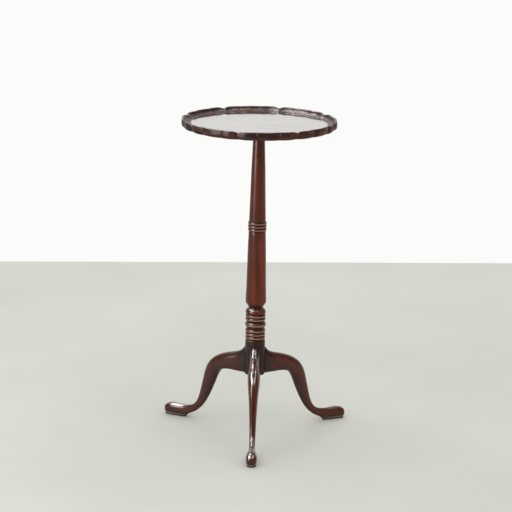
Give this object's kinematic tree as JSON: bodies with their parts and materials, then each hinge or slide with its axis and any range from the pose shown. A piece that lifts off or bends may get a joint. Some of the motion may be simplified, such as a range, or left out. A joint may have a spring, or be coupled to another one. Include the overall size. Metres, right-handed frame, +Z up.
{
  "type": "tilt top table",
  "caption": "Small round tripod table with a scalloped dished top that tips up on a turned column with cabriole legs.",
  "frame": {"origin": "on the floor, under the middle of the table's box; the column's axis is 34 mm behind it, at y = +0.034", "axes": "+Z up; one leg points to -Y, the front; the top tips about an axis along X"},
  "size_m": [0.4156, 0.4066, 0.712],
  "materials": {
    "polished_top": "french polished mahogany, deep gloss",
    "polished_mahogany": "waxed and polished mahogany, dark red brown",
    "plain_mahogany": "unpolished old mahogany",
    "dark_pad": "blackened wood, dull",
    "aged_brass": "tarnished cast brass",
    "old_iron": "dark wrought iron",
    "bright_steel": "worn steel"
  },
  "bodies": {
    "stand": {"column": "polished_mahogany", "pivot_block": "plain_mahogany", "tenon_wedge": "plain_mahogany", "pivot_pin_left": "bright_steel", "pivot_pin_right": "bright_steel", "catch_keeper": "aged_brass", "keeper_screw_1": "aged_brass", "keeper_screw_2": "aged_brass", "tripod_plate": "old_iron", "leg_front": "polished_mahogany", "foot_pad_front": "dark_pad", "plate_screw_front_1": "old_iron", "plate_screw_front_2": "old_iron", "leg_left": "polished_mahogany", "foot_pad_left": "dark_pad", "plate_screw_left_1": "old_iron", "plate_screw_left_2": "old_iron", "leg_right": "polished_mahogany", "foot_pad_right": "dark_pad", "plate_screw_right_1": "old_iron", "plate_screw_right_2": "old_iron"},
    "tipping_top": {"top": "polished_top", "bearer_left": "plain_mahogany", "bearer_right": "plain_mahogany", "bearer_screw_left_1": "old_iron", "bearer_screw_left_2": "old_iron", "bearer_screw_left_3": "old_iron", "bearer_screw_right_1": "old_iron", "bearer_screw_right_2": "old_iron", "bearer_screw_right_3": "old_iron", "catch_case": "aged_brass", "catch_spring": "bright_steel", "catch_screw_1": "aged_brass", "catch_screw_2": "aged_brass", "catch_screw_3": "aged_brass", "catch_screw_4": "aged_brass"},
    "catch": {"catch_bolt": "aged_brass", "catch_knob": "aged_brass"}
  },
  "joints": [
    {"name": "top_tilt", "type": "hinge", "parent": "stand", "child": "tipping_top", "pos_m": [0, 0.0555, 0.6846], "axis": [-1, 0, 0], "range_deg": [0, 90]},
    {"name": "catch_slide", "type": "slide", "parent": "tipping_top", "child": "catch", "axis": [0, -1, 0], "range_m": [0, 0.006], "stiffness_N_per_m": 500, "springref_m": -0.004, "deforming": ["catch_spring"]}
  ]
}
